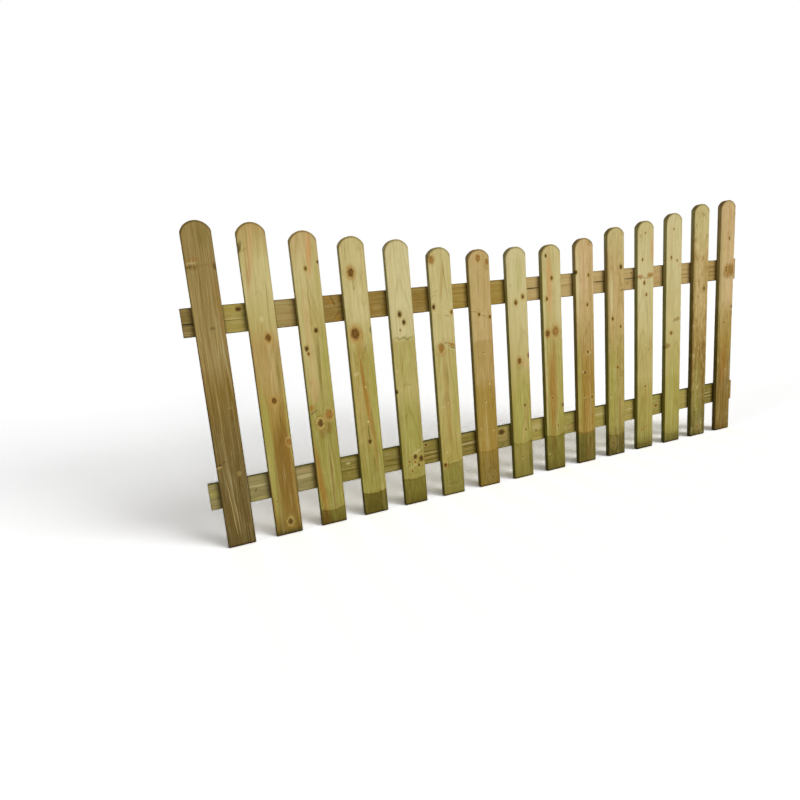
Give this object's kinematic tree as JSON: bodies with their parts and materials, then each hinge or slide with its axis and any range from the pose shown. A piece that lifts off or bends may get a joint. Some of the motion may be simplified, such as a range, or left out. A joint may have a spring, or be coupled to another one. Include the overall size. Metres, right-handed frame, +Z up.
{
  "type": "garden fence panel",
  "caption": "Timber picket fence panel with rounded picket tops that follow a dipped top line, nailed to two flat rails.",
  "frame": {"origin": "on the flat back face of the upper rail, at its mid-length and mid-height", "axes": "+X along the panel, to the right seen from the front; -Y the way the pickets face; +Z up"},
  "size_m": [1.83, 0.03, 0.797],
  "materials": {
    "picket_wood": "planed, pressure treated",
    "rail_wood": "planed, pressure treated"
  },
  "bodies": {
    "root": {"picket_01": "picket_wood", "picket_02": "picket_wood", "picket_03": "picket_wood", "picket_04": "picket_wood", "picket_05": "picket_wood", "picket_06": "picket_wood", "picket_07": "picket_wood", "picket_08": "picket_wood", "picket_09": "picket_wood", "picket_10": "picket_wood", "picket_11": "picket_wood", "picket_12": "picket_wood", "picket_13": "picket_wood", "picket_14": "picket_wood", "picket_15": "picket_wood", "upper_rail": "rail_wood", "lower_rail": "rail_wood"}
  },
  "joints": []
}
